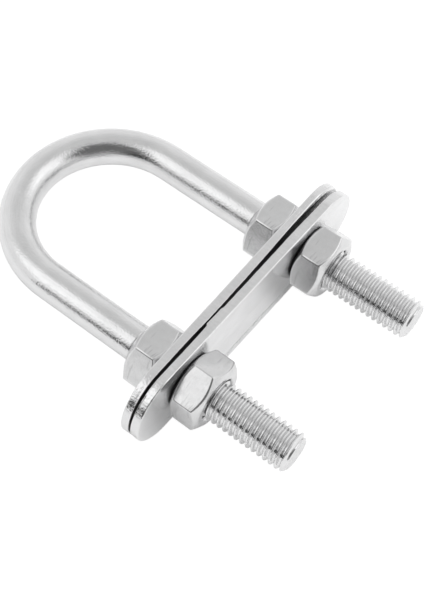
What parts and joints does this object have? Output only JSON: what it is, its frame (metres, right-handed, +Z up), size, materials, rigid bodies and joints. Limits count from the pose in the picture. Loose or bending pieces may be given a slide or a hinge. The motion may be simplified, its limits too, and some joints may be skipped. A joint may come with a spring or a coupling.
{
  "type": "u-bolt",
  "caption": "Threaded U-bolt with a pair of clamp plates, each held against the other by hex nuts on both legs.",
  "frame": {"origin": "midway between the two legs and midway between the two clamp plates", "axes": "+X along the legs, from the bend towards the threaded ends; +Y from the near leg to the far leg; +Z up, square to the U's plane"},
  "size_m": [0.0801, 0.065, 0.0168],
  "materials": {
    "rod_steel": "polished",
    "plate_steel": "satin",
    "nut_steel": "satin"
  },
  "bodies": {
    "u_rod": {"u_rod": "rod_steel"},
    "inner_plate": {"inner_plate": "plate_steel"},
    "near_inner_nut": {"near_inner_nut": "nut_steel"},
    "far_inner_nut": {"far_inner_nut": "nut_steel"},
    "outer_plate": {"outer_plate": "plate_steel"},
    "near_outer_nut": {"near_outer_nut": "nut_steel"},
    "far_outer_nut": {"far_outer_nut": "nut_steel"}
  },
  "joints": [
    {"name": "inner_plate_slide", "type": "slide", "parent": "u_rod", "child": "inner_plate", "axis": [1, 0, 0], "range_m": [0, 0.0001]},
    {"name": "near_inner_nut_turn", "type": "hinge", "parent": "inner_plate", "child": "near_inner_nut", "pos_m": [-0.0054, -0.01805, 0], "axis": [1, 0, 0], "range_deg": [0, 28.9]},
    {"name": "far_inner_nut_turn", "type": "hinge", "parent": "inner_plate", "child": "far_inner_nut", "pos_m": [-0.0056, 0.01805, 0], "axis": [1, 0, 0], "range_deg": [0, 28.9]},
    {"name": "outer_plate_slide", "type": "slide", "parent": "u_rod", "child": "outer_plate", "axis": [1, 0, 0], "range_m": [-0.0001, 0.01625]},
    {"name": "near_outer_nut_turn", "type": "hinge", "parent": "outer_plate", "child": "near_outer_nut", "pos_m": [0.0053, -0.01805, 0], "axis": [1, 0, 0], "range_deg": [-28.9, 4680.1]},
    {"name": "far_outer_nut_turn", "type": "hinge", "parent": "outer_plate", "child": "far_outer_nut", "pos_m": [0.0056, 0.01805, 0], "axis": [1, 0, 0], "range_deg": [-28.9, 4680.1]}
  ],
  "couplings": [
    {"joint": "near_inner_nut_turn", "follows": "inner_plate_slide", "rad_per_m": 5026.5},
    {"joint": "far_inner_nut_turn", "follows": "inner_plate_slide", "rad_per_m": 5026.5},
    {"joint": "near_outer_nut_turn", "follows": "outer_plate_slide", "rad_per_m": 5026.5},
    {"joint": "far_outer_nut_turn", "follows": "outer_plate_slide", "rad_per_m": 5026.5}
  ]
}
